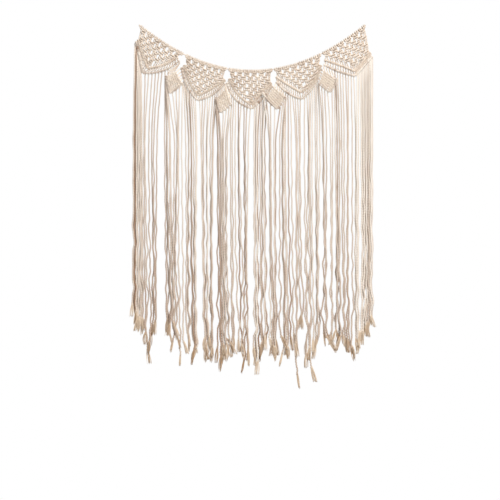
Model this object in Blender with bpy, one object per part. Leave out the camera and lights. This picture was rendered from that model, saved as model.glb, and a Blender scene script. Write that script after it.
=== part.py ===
"""Macrame wall hanging in natural cotton cord.

A sagging header cord carries five knotted panels. Four small leaves are knotted from the strands
between the panels, and every strand ends in a long fringe. Metres, +Z up. The front faces -Y, and
the origin is the middle of the hanging's box.
"""

import math

import bmesh
import bpy
import numpy as np

MM = 0.001

# Driving sizes
CORD = 4.0 * MM               # thickness of every strand
GAP = 0.6 * MM                # between the header cord and the lark's heads round it
EDGE_GAP = 0.8 * MM           # left where a curved edge meets a bar, which has straight sides
HEADER_SPAN = 629 * MM        # between the two ends of the header
HEADER_SAG = 127 * MM         # how far the header's middle hangs below its ends
HEADER_Z = 502 * MM           # height of the header's ends above the origin
HEADER_STEPS = 20
HEADER_SIDES = 6
BORE_STEPS = 5
BORE_SIDES = 4
BORE_OVERRUN = 12 * MM        # the bore's cutter runs this far past a panel
KNOT_LENGTH = 6.0 * MM        # stopper knot at each end of the header
KNOT_PROFILE = ((0.1, 3.2 * MM), (0.4, 4.2 * MM), (0.75, 3.4 * MM), (1.0, 2.0 * MM))

STRANDS = 24                  # strands in a panel, two for each lark's head knot
KNOT_STRANDS = 4              # strands in a square knot
HEADING_RISE = 5.5 * MM       # the lark's heads reach this far above the header's middle line
HEADING_DROP = 5.0 * MM       # and this far below it
FIRST_ROW = 10.4 * MM         # middle of the first row of square knots, down from the header
SECOND_ROW = 24.0 * MM
ROW_PITCH = 10.2 * MM         # between the rows from the second one on
ROWS = 6                      # rows of 6, 5, 4, 3, 2 and 1 square knots
SLOT_EDGE = 0.26              # a strand leaves a bar between 0.26 and 0.74 of its own knot

BAR_WIDTH = 6.0 * MM          # a bar of diagonal double half hitches
SMOOTHING = 1.2               # knots over which a bar's direction is averaged round its tip

# Half thickness, front to back
CORE_HALF = 6.2 * MM          # lark's heads round the header cord
HEADING_VALLEY = 5.0 * MM
KNOT_HALF = 5.0 * MM
VALLEY_HALF = 2.9 * MM
EDGE_HALF = 2.4 * MM
STRAND_HALF = 2.0 * MM
BAR_RIDGE = 4.5 * MM
BAR_VALLEY = 3.3 * MM
BAR_SIZE = (BAR_WIDTH, BAR_RIDGE, BAR_VALLEY, EDGE_HALF)

LEAF_STRANDS = 8
LEAF_DEPTH = -8.4 * MM        # the leaves lie in front of the panels
LEAF_BAR_WIDTH = 5.6 * MM
LEAF_RIDGE = 3.2 * MM
LEAF_VALLEY = 2.6 * MM
LEAF_EDGE = 1.9 * MM
LEAF_BAR_SIZE = (LEAF_BAR_WIDTH, LEAF_RIDGE, LEAF_VALLEY, LEAF_EDGE)
LEAF_CELLS = 4                # cells along each side of a leaf, one for each strand
LEAD_IN_DEPTH = -1.2 * MM     # a leaf's strands leave the panel's bar here

STRAND_RADIUS = 2.5 * MM      # three-sided strands, 4.3 mm wide seen from the front
ROOT_INSET = 1.5 * MM         # a strand starts this far outside the middle line of its bar
LAYERS = (-1.0 * MM, 3.1 * MM)         # strands of the panels hang in one or two layers
LEAF_LAYERS = (-5.4 * MM, -9.5 * MM)   # and so do the strands of the leaves
HANG_LEVELS = (262, 400, 545, 690, 835)        # mm below the header's ends
TABLE_LEVELS = (351, 631, 897)                 # levels that the FRINGE table gives
LAST_STEP = 20                # mm, least distance from a strand's last level to its end
STRAND_PITCH = 4.6 * MM       # least distance between two strands of a layer
LEANING = 0.6                 # part of a strand's room that it takes up by leaning one way
WANDER_LENGTH = 85            # mm of strand for one radian of its wandering
SWAY = 2.2 * MM               # slow sideways sway of a group of strands
SWAY_LENGTH = 70              # mm of strand for one radian of that sway
SWAY_SHIFT = 0.05             # radians by which the sway is ahead for each mm to the right
END_SCATTER = 14 * MM         # strands of a group end up to this much above or below its line
SEED = 11

SHARP_ANGLE = math.radians(50)
COTTON = (0.84, 0.77, 0.68, 1.0)
COTTON_SHADE = (0.79, 0.71, 0.61, 1.0)

# Each V bar: left shoulder, tip and right shoulder (x, drop below the header's ends), and how far
# the left and the right arm bow outwards. All in mm.
V_COLUMNS = ("lx", "lz", "tx", "tz", "rx", "rz", "bow_l", "bow_r")
INNER_V = {
    1: (-320, 41, -292, 121, -211, 91, 1, 6),
    2: (-191, 112, -152, 198, -80, 153, 6, 3),
    3: (-65, 150, -3, 224, 45, 162, 10, 0),
    4: (68, 146, 136, 194, 183, 115, 1, 9),
    5: (203, 99, 285, 131, 322, 76, -2, 0),
}
OUTER_V = {
    1: (-326, 46, -308, 136, -206, 100, 4, 13),
    2: (-198, 119, -154, 211, -81, 163, 11, 10),
    3: (-72, 161, 0, 235, 50, 171, 18, 2),
    4: (67, 160, 139, 210, 188, 121, 10, 11),
    5: (200, 112, 289, 145, 331, 86, 5, 1),
}
# Header from and to (x in mm), rows of knots with open gaps between them, and the half width of
# such a gap in strand pitches
PANEL_COLUMNS = ("x0", "x1", "open_rows", "gap")
PANELS = {
    1: (-313, -196, 5, 0.46),
    2: (-184, -74, 2, 0.46),
    3: (-64, 52, 2, 0.44),
    4: (62, 188, 2, 0.44),
    5: (198, 313, 4, 0.46),
}
# Each leaf: top, left end, tip and right end (x, drop), how far its lower edges bow outwards, and
# how far along the left arm of its bar the leaf itself begins. All but the last in mm.
LEAF_COLUMNS = ("ux", "uz", "lx", "lz", "tx", "tz", "rx", "rz", "bow_l", "bow_r", "start")
LEAVES = {
    1: (-214, 129, -241, 143, -231, 192, -194, 163, 3, 5, 0.0),
    2: (-74, 178, -100, 204, -89, 246, -59, 222, 5, 5, 0.0),
    3: (61, 177, 28, 194, 70, 239, 94, 203, 6, 4, 0.28),
    4: (198, 128, 187, 165, 216, 188, 237, 150, 4, 5, 0.0),
}
# Groups of strands that hang together: the bar and the knots they come from, the x of the first
# and the last strand at the three TABLE_LEVELS (mm), the drop of their ends, and how they lie: in
# one layer, in pairs one behind the other, or staggered in two layers.
FRINGE_COLUMNS = ("bar", "knot", "count", "top_a", "top_b", "mid_a", "mid_b", "low_a", "low_b",
                  "end_a", "end_b", "lie")
FRINGE = (
    ("fringe_1", 0, 12, -335, -310, -334, -306, -333, -305, 856, 866, "stagger"),
    ("fringe_1", 12, 6, -304, -270, -301, -270, -299, -271, 912, 880, "one"),
    ("fringe_1", 18, 2, -250, -244, -245, -238, -240, -232, 866, 878, "one"),
    ("leaf_fringe_1", 0, 4, -242, -228, -232, -214, -228, -209, 868, 916, "one"),
    ("leaf_fringe_1", 4, 4, -219, -197, -207, -190, -202, -187, 958, 908, "one"),
    ("fringe_2", 4, 8, -188, -157, -186, -159, -184, -158, 900, 948, "pair"),
    ("fringe_2", 12, 8, -146, -111, -141, -114, -136, -111, 938, 948, "pair"),
    ("leaf_fringe_2", 0, 4, -99, -83, -99, -81, -99, -80, 962, 944, "one"),
    ("leaf_fringe_2", 4, 4, -77, -55, -75, -54, -73, -51, 938, 908, "one"),
    ("fringe_3", 4, 8, -48, -12, -44, -15, -40, -9, 925, 968, "pair"),
    ("fringe_3", 12, 8, 2, 34, 5, 35, 5, 37, 972, 905, "pair"),
    ("leaf_fringe_3", 0, 4, 44, 66, 47, 66, 49, 67, 930, 940, "one"),
    ("leaf_fringe_3", 4, 4, 77, 94, 75, 94, 73, 94, 950, 936, "one"),
    ("fringe_4", 4, 8, 99, 131, 97, 134, 99, 137, 905, 985, "pair"),
    ("fringe_4", 12, 8, 145, 170, 147, 171, 147, 173, 955, 985, "pair"),
    ("leaf_fringe_4", 0, 4, 177, 206, 178, 206, 180, 206, 935, 908, "one"),
    ("leaf_fringe_4", 4, 4, 218, 244, 217, 240, 213, 237, 905, 893, "one"),
    ("fringe_5", 4, 8, 248, 296, 250, 296, 245, 293, 905, 935, "pair"),
    ("fringe_5", 12, 12, 306, 335, 307, 334, 304, 336, 905, 858, "stagger"),
)
LONG_STRAND = ("fringe_4", 9, 1012 * MM)       # one strand of the fourth panel hangs lowest


def row(columns, values):
    """Values of one table row by column name."""
    return dict(zip(columns, values))


def clear_scene():
    for item in list(bpy.data.objects):
        bpy.data.objects.remove(item, do_unlink=True)


def cotton(name, colour, roughness):
    material = bpy.data.materials.new(name)
    material.use_nodes = True
    shader = material.node_tree.nodes["Principled BSDF"]
    shader.inputs["Base Color"].default_value = colour
    shader.inputs["Roughness"].default_value = roughness
    shader.inputs["Metallic"].default_value = 0.0
    return material


def add_object(name, points, faces, material=None):
    """A closed mesh object, shaded smooth, with its faces pointing out."""
    mesh = bpy.data.meshes.new(name)
    mesh.from_pydata([tuple(p) for p in points], [], faces)
    shell = bmesh.new()
    shell.from_mesh(mesh)
    bmesh.ops.recalc_face_normals(shell, faces=shell.faces)
    shell.to_mesh(mesh)
    shell.free()
    mesh.shade_smooth()
    mesh.set_sharp_from_angle(angle=SHARP_ANGLE)
    item = bpy.data.objects.new(name, mesh)
    bpy.context.scene.collection.objects.link(item)
    if material:
        mesh.materials.append(material)
    return item


def boolean(item, other, operation, self_cross=False):
    """Change the item by a guide object, which isn't a piece itself."""
    other.hide_render = True
    other.display_type = "WIRE"
    change = item.modifiers.new(operation.lower(), "BOOLEAN")
    change.object = other
    change.operation = operation
    change.solver = "EXACT"
    change.use_self = self_cross


# ---------------------------------------------------------------- curves of the design


def header_point(x):
    """The header cord hangs in a parabola between its two ends."""
    half = HEADER_SPAN / 2
    return np.array([x, HEADER_Z - HEADER_SAG * (1 - (x / half) ** 2)])


def bowed(start, end, bow, f):
    """A point at the share f of a parabola from start to end that bows to its right by `bow`."""
    along = end - start
    side = np.array([along[1], -along[0]]) / np.linalg.norm(along)
    return start + along * f + side * bow * 4 * f * (1 - f)


class VBar:
    """The middle line of a V-shaped bar, with a parameter that counts its knots."""

    def __init__(self, shape, knots):
        self.knots = knots
        self.left, self.tip, self.right = (
            np.array([shape[k + "x"] * MM, HEADER_Z - shape[k + "z"] * MM]) for k in "ltr")
        self.bow_l, self.bow_r = shape["bow_l"] * MM, shape["bow_r"] * MM

    def middle(self, s):
        half = self.knots / 2
        if s <= half:
            return bowed(self.left, self.tip, self.bow_l, s / half)
        return bowed(self.tip, self.right, self.bow_r, (s - half) / half)

    def normal(self, s):
        """Towards the header, averaged over the neighbouring knots."""
        low, high = max(0.0, s - SMOOTHING), min(float(self.knots), s + SMOOTHING)
        along = self.middle(high) - self.middle(low)
        return np.array([-along[1], along[0]]) / np.linalg.norm(along)

    def edge(self, s, offset):
        return self.middle(s) + self.normal(s) * offset


def inner_bar(number):
    return VBar(row(V_COLUMNS, INNER_V[number]), STRANDS)


def outer_bar(number):
    return VBar(row(V_COLUMNS, OUTER_V[number]), STRANDS)


def leaf_bar(number):
    return VBar(row(LEAF_COLUMNS, LEAVES[number]), LEAF_STRANDS)


# ---------------------------------------------------------------- flat webs of cells


class Web:
    """Cells in the XZ plane, each point with its own middle depth and half thickness."""

    def __init__(self):
        self.points = []
        self.faces = []

    def add(self, place, half, depth=0.0):
        self.points.append((place[0], place[1], depth, half))
        return len(self.points) - 1

    def cell(self, *corners):
        self.faces.append(corners)

    def stitch(self, upper, lower):
        """Triangles between two rows of (parameter, point), always to the nearer next point."""
        i = j = 0
        while i < len(upper) - 1 or j < len(lower) - 1:
            more_up, more_low = i < len(upper) - 1, j < len(lower) - 1
            if more_up and (not more_low or upper[i + 1][0] <= lower[j + 1][0]):
                self.cell(upper[i][1], lower[j][1], upper[i + 1][1])
                i += 1
            else:
                self.cell(upper[i][1], lower[j][1], lower[j + 1][1])
                j += 1

    def solid(self, name, material):
        """Front and back faces, with walls along every free edge."""
        count = len(self.points)
        front = [(x, depth - half, z) for x, z, depth, half in self.points]
        back = [(x, depth + half, z) for x, z, depth, half in self.points]
        faces = self.faces + [tuple(count + k for k in reversed(face)) for face in self.faces]
        edges = {(a, b) for face in self.faces for a, b in zip(face, face[1:] + face[:1])}
        faces += [(b, a, count + a, count + b) for a, b in sorted(edges) if (b, a) not in edges]
        return add_object(name, front + back, faces, material)


def bar_rows(web, bar, stops, width, ridge, valley, edge, depth=0.0):
    """The three rows of a bar: its upper edge, a middle line with a ridge on every second knot,
    and its lower edge. `stops` are the places of the points on both edges."""
    middle = [(k, web.add(bar.middle(k), ridge if k % 2 else valley, depth))
              for k in range(bar.knots + 1)]
    upper = [(s, web.add(bar.edge(s, width / 2), edge, depth)) for s in stops]
    lower = [(s, web.add(bar.edge(s, -width / 2), edge, depth)) for s in stops]
    web.stitch(upper, middle)
    web.stitch(middle, lower)
    return upper, lower


# ---------------------------------------------------------------- header


def sweep_header(stations, sides):
    """A closed cord along the header's curve, from its (x, radius) stations."""
    points, faces = [], []
    for x, radius in stations:
        x0, z0 = header_point(x)
        slope = header_point(x + MM) - header_point(x - MM)
        up = np.array([-slope[1], slope[0]]) / np.linalg.norm(slope)
        for k in range(sides):
            angle = 2 * math.pi * (k + 0.5) / sides
            rise = radius * math.cos(angle)
            points.append((x0 + up[0] * rise, radius * math.sin(angle), z0 + up[1] * rise))
    last = (len(stations) - 1) * sides
    for first in range(0, last, sides):
        for k in range(sides):
            a, b = first + k, first + (k + 1) % sides
            faces.append((a, b, b + sides, a + sides))
    faces.append(tuple(reversed(range(sides))))
    faces.append(tuple(last + k for k in range(sides)))
    return points, faces


def header_cord(material):
    """The cord that carries the panels, with a stopper knot past each end."""
    half = HEADER_SPAN / 2
    knot = [(half + share * KNOT_LENGTH, radius) for share, radius in KNOT_PROFILE]
    stations = [(-x, radius) for x, radius in reversed(knot)]
    stations += [(x, CORD / 2) for x in np.linspace(-half, half, HEADER_STEPS + 1)]
    return add_object("header_cord", *sweep_header(stations + knot, HEADER_SIDES), material)


# ---------------------------------------------------------------- panels


class PanelLines:
    """Where the strand lines of one panel run, from the header to its inner bar."""

    def __init__(self, number):
        shape = row(PANEL_COLUMNS, PANELS[number])
        self.x0, self.x1 = shape["x0"] * MM, shape["x1"] * MM
        self.open_rows, self.gap = shape["open_rows"], shape["gap"]
        self.inner, self.outer = inner_bar(number), outer_bar(number)

    def place(self, u, drop):
        """A point on strand line u, `drop` down from the header towards the inner bar."""
        top = header_point(self.x0 + (self.x1 - self.x0) * u / STRANDS)
        way = self.inner.edge(u, BAR_WIDTH / 2) - top
        return top + way * (drop / np.linalg.norm(way))


def row_levels():
    """Drop of each row's middle and of its lower edge, from the header's middle line."""
    middles = [FIRST_ROW] + [SECOND_ROW + k * ROW_PITCH for k in range(ROWS - 1)]
    lowers = [(a + b) / 2 for a, b in zip(middles, middles[1:])]
    return list(zip(middles, lowers + [middles[-1] + ROW_PITCH / 2]))


def heading(web, lines):
    """The lark's heads over the header cord. Returns their lower edge."""
    pairs = range(0, STRANDS + 1, 2)
    crest = [(u, web.add(lines.place(u, -HEADING_RISE), EDGE_HALF)) for u in pairs]
    heads = [(u, web.add(lines.place(u, 0), CORE_HALF if u % 2 else HEADING_VALLEY))
             for u in range(STRANDS + 1)]
    lower = [(u, web.add(lines.place(u, HEADING_DROP), VALLEY_HALF)) for u in pairs]
    web.stitch(crest, heads)
    web.stitch(heads, lower)
    return lower


def square_knots(web, lines, r, drop, above, below):
    """One row of square knots between the points above and below it."""
    first, last = 2 * r, STRANDS - 2 * r
    flanks = {}
    for knot in range(first, last, KNOT_STRANDS):
        sides = []
        for u, inward in ((knot, 1), (knot + KNOT_STRANDS, -1)):
            outermost = u in (first, last)
            gap = lines.gap * inward if r < lines.open_rows and not outermost else 0.0
            if (u, gap) not in flanks:
                half = EDGE_HALF if outermost else VALLEY_HALF
                flanks[u, gap] = web.add(lines.place(u + gap, drop), half)
            sides.append((u + gap, flanks[u, gap]))
        heart = knot + KNOT_STRANDS / 2
        across = [sides[0], (heart, web.add(lines.place(heart, drop), KNOT_HALF)), sides[1]]
        over = [p for p in above if knot <= p[0] <= knot + KNOT_STRANDS]
        under = [p for p in below if knot <= p[0] <= knot + KNOT_STRANDS]
        web.stitch(over, across)
        web.stitch(across, under)


def knot_rows(web, lines, above):
    """All rows of square knots. Returns, for each strand, the two points where it leaves them."""
    leaving = {}
    for r, (drop, lower) in enumerate(row_levels()):
        first, last = 2 * r, STRANDS - 2 * r
        above = [p for p in above if first <= p[0] <= last and p[0] % 2 == 0]
        below = []
        for u in range(first, last + 1):
            loose = u < first + 2 or u > last - 2 or r == ROWS - 1
            if u % 2 == 0 or loose:
                below.append((u, web.add(lines.place(u, lower), VALLEY_HALF)))
        square_knots(web, lines, r, drop, above, below)
        for (u, a), (v, b) in zip(below, below[1:]):
            if v == u + 1:
                leaving[u] = (a, b)
        above = below
    return leaving


def bar_and_ladder(web, lines, leaving):
    """Free strands down to the inner bar, the bar, and the ladder of strands below it."""
    slots = [k + side for k in range(STRANDS) for side in (SLOT_EDGE, 1 - SLOT_EDGE)]
    upper, lower = bar_rows(web, lines.inner, slots, *BAR_SIZE)
    foot = BAR_WIDTH / 2 + EDGE_GAP
    for k in range(STRANDS):
        a, b = 2 * k, 2 * k + 1
        web.cell(leaving[k][0], upper[a][1], upper[b][1], leaving[k][1])
        feet = [web.add(lines.outer.edge(s, foot), STRAND_HALF) for s in (slots[a], slots[b])]
        web.cell(lower[a][1], feet[0], feet[1], lower[b][1])


def panel(number, material):
    lines = PanelLines(number)
    web = Web()
    leaving = knot_rows(web, lines, heading(web, lines))
    bar_and_ladder(web, lines, leaving)
    item = web.solid(f"panel_{number}", material)
    radius = (CORD / 2 + GAP) / math.cos(math.pi / BORE_SIDES)
    stations = np.linspace(lines.x0 - BORE_OVERRUN, lines.x1 + BORE_OVERRUN, BORE_STEPS + 1)
    bore = sweep_header([(x, radius) for x in stations], BORE_SIDES)
    boolean(item, add_object(f"bore_{number}", *bore), "DIFFERENCE")


# ---------------------------------------------------------------- leaves


def leaf_grid(web, shape, bar):
    """The knotted rhombus, filled in between its four edges. i runs down along its left side
    and j along its right side."""
    half = LEAF_STRANDS / 2
    rim = LEAF_BAR_WIDTH / 2 + EDGE_GAP
    first = shape["start"] * half
    top = np.array([shape["ux"] * MM, HEADER_Z - shape["uz"] * MM])
    left, tip, right = (bar.edge(s, rim) for s in (first, half, LEAF_STRANDS))
    grid = {}
    for i in range(LEAF_CELLS + 1):
        for j in range(LEAF_CELLS + 1):
            a, b = i / LEAF_CELLS, j / LEAF_CELLS
            low_l = bar.edge(first + (half - first) * b, rim)
            low_r = bar.edge(LEAF_STRANDS - half * a, rim)
            up_l, up_r = top + (left - top) * a, top + (right - top) * b
            corners = (top * (1 - a) * (1 - b) + left * a * (1 - b)
                       + right * (1 - a) * b + tip * a * b)
            spot = up_r * (1 - a) + low_l * a + up_l * (1 - b) + low_r * b - corners
            on_rim = i in (0, LEAF_CELLS) or j in (0, LEAF_CELLS)
            raised = LEAF_RIDGE if (i + j) % 2 else LEAF_VALLEY
            grid[i, j] = web.add(spot, LEAF_EDGE if on_rim else raised, LEAF_DEPTH)
    for i in range(LEAF_CELLS):
        for j in range(LEAF_CELLS):
            web.cell(grid[i, j], grid[i + 1, j], grid[i + 1, j + 1], grid[i, j + 1])
    return grid


def lead_ins(web, number, grid):
    """Four strands from the panel on each side, which fan into the leaf's upper edges."""
    below = -(BAR_WIDTH / 2 + EDGE_GAP)
    for k in range(LEAF_CELLS):
        for bar, a, b, slots in (
                (outer_bar(number), grid[k + 1, 0], grid[k, 0],
                 (STRANDS - 1 - k + SLOT_EDGE, STRANDS - k - SLOT_EDGE)),
                (outer_bar(number + 1), grid[0, k], grid[0, k + 1],
                 (k + SLOT_EDGE, k + 1 - SLOT_EDGE))):
            heads = [web.add(bar.edge(s, below), STRAND_HALF, LEAD_IN_DEPTH) for s in slots]
            web.cell(heads[0], a, b, heads[1])


def leaf(number, material):
    web = Web()
    grid = leaf_grid(web, row(LEAF_COLUMNS, LEAVES[number]), leaf_bar(number))
    lead_ins(web, number, grid)
    web.solid(f"leaf_{number}", material)


# ---------------------------------------------------------------- fringe


def hanging_x(group, order, drop, leaning, phase):
    """Where a strand of the group hangs at one level. Each strand wanders within the room that
    its neighbours in the same layer leave it, and the whole group sways."""
    count = group["count"]
    if group["lie"] == "pair":
        share, pitches = (order // 2) / (count // 2 - 1), count // 2 - 1
    else:
        share = order / (count - 1)
        pitches = (count - 1) / (2 if group["lie"] == "stagger" else 1)
    first, last = (float(np.interp(drop, TABLE_LEVELS, [group[level + side] * MM for level in
                                                        ("top", "mid", "low")]))
                   for side in ("_a", "_b"))
    room = max(0.0, (last - first) / pitches - STRAND_PITCH) / 2
    wander = LEANING * leaning + (1 - LEANING) * math.sin(drop / WANDER_LENGTH + phase)
    sway = SWAY * math.sin(drop / SWAY_LENGTH + SWAY_SHIFT * group["top_a"])
    return first + (last - first) * share + room * wander + sway


def strand_path(group, order, start, randomness):
    """Points of one strand, from inside its bar to its end."""
    in_leaf = group["bar"].startswith("leaf")
    layers = LEAF_LAYERS if in_leaf else LAYERS
    depth = layers[0 if group["lie"] == "one" else order % 2]
    leaning, phase, scatter = randomness.uniform(-1, 1, 3)
    share = order / (group["count"] - 1)
    end = (group["end_a"] + (group["end_b"] - group["end_a"]) * share) * MM
    end += END_SCATTER * scatter
    if (group["bar"], group["knot"] + order) == LONG_STRAND[:2]:
        end = LONG_STRAND[2]
    path = [(start[0], LEAF_DEPTH if in_leaf else 0.0, start[1])]
    for drop in [level for level in HANG_LEVELS if level < end / MM - LAST_STEP] + [end / MM]:
        x = hanging_x(group, order, drop, leaning, math.pi * phase)
        path.append((x, depth, HEADER_Z - drop * MM))
    return path


def three_sided(path):
    """A closed three-sided strand with its rings level."""
    points, faces = [], []
    for x, y, z in path:
        for k in range(3):
            angle = -math.pi / 2 + 2 * math.pi * k / 3
            points.append((x + STRAND_RADIUS * math.cos(angle), y + STRAND_RADIUS * math.sin(angle), z))
    for i in range(len(path) - 1):
        for k in range(3):
            a, b = 3 * i + k, 3 * i + (k + 1) % 3
            faces.append((a, b, b + 3, a + 3))
    last = 3 * (len(path) - 1)
    return points, faces + [(2, 1, 0), (last, last + 1, last + 2)]


def hanging_strands(name, bar, randomness):
    """All strands that hang from one bar, as one guide mesh."""
    points, faces = [], []
    for values in FRINGE:
        group = row(FRINGE_COLUMNS, values)
        if group["bar"] != name:
            continue
        for order in range(group["count"]):
            start = bar.edge(group["knot"] + order + 0.5, -ROOT_INSET)
            more, cells = three_sided(strand_path(group, order, start, randomness))
            faces += [tuple(len(points) + k for k in cell) for cell in cells]
            points += more
    return add_object(name + "_strands", points, faces)


def fringe(name, bar, stops, size, depth, material, randomness):
    """The bar that holds the roots, and the strands fused to it."""
    web = Web()
    bar_rows(web, bar, stops, *size, depth)
    item = web.solid(name, material)
    boolean(item, hanging_strands(name, bar, randomness), "UNION", self_cross=True)


def build():
    clear_scene()
    randomness = np.random.default_rng(SEED)
    knotted = cotton("cotton_knotted", COTTON, 0.85)
    plied = cotton("cotton_plied", COTTON, 0.8)
    header_cord(cotton("cotton_header", COTTON_SHADE, 0.85))
    for number in PANELS:
        panel(number, knotted)
        stops = range(0, STRANDS + 1, 2)
        fringe(f"fringe_{number}", outer_bar(number), stops, BAR_SIZE, 0.0, plied, randomness)
    for number in LEAVES:
        leaf(number, knotted)
        stops = range(LEAF_STRANDS + 1)
        fringe(f"leaf_fringe_{number}", leaf_bar(number), stops, LEAF_BAR_SIZE, LEAF_DEPTH, plied,
               randomness)


build()
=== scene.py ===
"""Macrame wall hanging: the cords, the knots and the fringe that are seen.

Every strand is one twisted cotton cord whose centre line is tied: over the header with a lark's
head, through rows of square knots, round two V-shaped cores with double half hitches, and down
into the fringe. Metres, +Z up, front towards -Y, in the frame of the solids.
"""
import math

import bpy
import numpy as np
from bpy.props import FloatProperty, IntProperty, PointerProperty, StringProperty
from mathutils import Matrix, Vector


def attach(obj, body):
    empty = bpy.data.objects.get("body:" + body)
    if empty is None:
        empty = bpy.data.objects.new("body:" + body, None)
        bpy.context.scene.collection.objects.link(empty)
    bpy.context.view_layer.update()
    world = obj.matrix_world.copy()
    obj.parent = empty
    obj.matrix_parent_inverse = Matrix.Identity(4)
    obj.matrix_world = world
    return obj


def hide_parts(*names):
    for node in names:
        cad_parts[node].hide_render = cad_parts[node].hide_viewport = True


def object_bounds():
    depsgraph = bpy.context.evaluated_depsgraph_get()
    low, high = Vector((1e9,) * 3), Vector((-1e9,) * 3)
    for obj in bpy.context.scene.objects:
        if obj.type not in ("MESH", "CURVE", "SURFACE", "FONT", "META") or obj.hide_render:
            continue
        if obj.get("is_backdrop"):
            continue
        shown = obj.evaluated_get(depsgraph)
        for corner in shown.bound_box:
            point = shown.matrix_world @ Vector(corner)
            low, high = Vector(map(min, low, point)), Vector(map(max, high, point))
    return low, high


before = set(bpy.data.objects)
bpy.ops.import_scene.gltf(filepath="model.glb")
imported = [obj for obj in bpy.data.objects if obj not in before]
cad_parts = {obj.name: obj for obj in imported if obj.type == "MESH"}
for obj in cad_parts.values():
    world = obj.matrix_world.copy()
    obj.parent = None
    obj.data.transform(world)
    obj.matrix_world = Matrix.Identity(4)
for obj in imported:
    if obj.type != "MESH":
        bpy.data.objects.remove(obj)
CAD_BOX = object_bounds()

bl_info = {
    "name": "Macrame wall hanging",
    "version": (1, 0, 0),
    "blender": (4, 5, 0),
    "location": "3D View > Sidebar > Macrame",
    "description": "Ties the cords of a macrame wall hanging round its solid model",
    "category": "Add Mesh",
}

MM = 0.001

# Sizes of the design: header, bars and leaves as in the solids, rows and layers measured again
HEADER_SPAN = 629 * MM
HEADER_SAG = 127 * MM
HEADER_Z = 502 * MM
STRANDS = 24
HEADER_SINK = 2.5 * MM        # how far the knots' weight pulls the header cord down
FIRST_ROW = 12.0 * MM
SECOND_ROW = 23.4 * MM
ROW_PITCH = 10.1 * MM
KNOT_ROOM = 1.2 * MM          # least distance of a square knot's middle line from a bar
FIRST_GAP = 4.4 * MM          # between two neighbouring square knots of the first row
KNOT_GAP = 0.4 * MM           # and of the others
BAR_WIDTH = 6.0 * MM
EDGE_GAP = 0.8 * MM           # left where a curved edge meets a bar
SMOOTHING = 0.45              # hitches over which a bar's direction is averaged
LEAF_STRANDS = 8
LEAF_CELLS = 4
LEAF_ROWS = 6                 # rows of hitches in a leaf
LEAF_FAN = 0.04               # share of a leaf's sides where its strands still fan in
LEAF_BAR_WIDTH = 5.6 * MM
LEAF_CORD = 3.2 * MM          # thickness of a strand pulled tight in a leaf
LEAF_DEPTH = -8.4 * MM        # the leaves lie in front of the panels
LEAD_IN_DEPTH = -4.4 * MM     # depth of a leaf's strands halfway in from the panel
LAYERS = (-1.4 * MM, 3.4 * MM)         # strands of the panels hang in two layers
LEAF_LAYERS = (-5.4 * MM, -9.5 * MM)   # and so do the strands of the leaves
CLUMP_GAP = 5.4               # mm between two bundles that wave apart
SWELL_DARKENING = 0.8                 # how much darker a cord's tone is made where it is thicker than a free strand, as near its end
SIDES = 6                     # points round a cord: three ridges and three grooves
SAMPLE = 0.3 * MM             # between two samples of a cord's curve
RING_TURN = 0.55              # radians that a cord may bend from one ring to the next
UV_AROUND = 12.0              # mm of UV round a cord
# The dark tone of free strands is also painted shade in their grooves
FREE_TONES = ("FFF6EB", "A9856A")      # light and dark tone of long free strands
FRAYED_TONES = ("F0DCC4", "B38F6C")    # and of unspun ends
# Painted shade and painted light on strands: darker for strands that lie deep in a bundle, where
# shade falls, and lighter for strands of dense bundles, which paints over the shade between them
PAINTED_SHADE_AND_LIGHT = {("fringe_1", 2): -0.5, ("fringe_1", 3): -0.3, ("leaf_fringe_1", 0): -0.3,
          ("leaf_fringe_2", 0): -0.3, **{("fringe_5", k): 0.3 for k in range(12, STRANDS)},
          **{("fringe_1", k): 0.15 for k in range(4, 12)}}
SEED = 11

# Left shoulder, tip and right shoulder (x, drop), and how far both arms bow outwards, in mm
V_COLUMNS = ("lx", "lz", "tx", "tz", "rx", "rz", "bow_l", "bow_r")
INNER_V = {
    1: (-320, 41, -294, 122, -208, 91, 1, 6),
    2: (-191, 112, -152, 198, -76, 153, 6, 3),
    3: (-65, 150, -3, 224, 53, 161, 10, 0),
    4: (66, 146, 137, 190, 192, 112, 1, 9),
    5: (201, 99, 287, 131, 331, 77, -2, 0),
}
OUTER_V = {
    1: (-326, 46, -307, 135, -203, 100, -1, 12),
    2: (-198, 119, -154, 211, -77, 163, 9, 9),
    3: (-72, 161, 0, 235, 57, 170, 15, 2),
    4: (67, 159, 139, 208, 192, 121, 8, 10),
    5: (200, 111, 289, 143, 336, 88, 4, 0),
}
# Both ends of each panel on the header, and its rows of square knots
PANELS = {1: (-314, -193, 8), 2: (-186, -72, 9), 3: (-66, 56, 9), 4: (61, 192, 9),
          5: (196, 316, 10)}
TIP_SHIFT = 0.1               # slots by which a V's tip pushes the outer bar's hitches apart
LEAF_COLUMNS = ("ux", "uz", "lx", "lz", "tx", "tz", "rx", "rz", "bow_l", "bow_r", "start")
LEAVES = {
    1: (-214, 129, -241, 143, -231, 192, -194, 163, 1, 2, 0.0),
    2: (-74, 176, -100, 203, -89, 246, -57, 220, 2, 2, 0.0),
    3: (61, 172, 28, 191, 71, 236, 93, 200, 3, 2, 0.28),
    4: (198, 126, 185, 164, 216, 189, 237, 150, 1, 3, 0.0),
}
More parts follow.
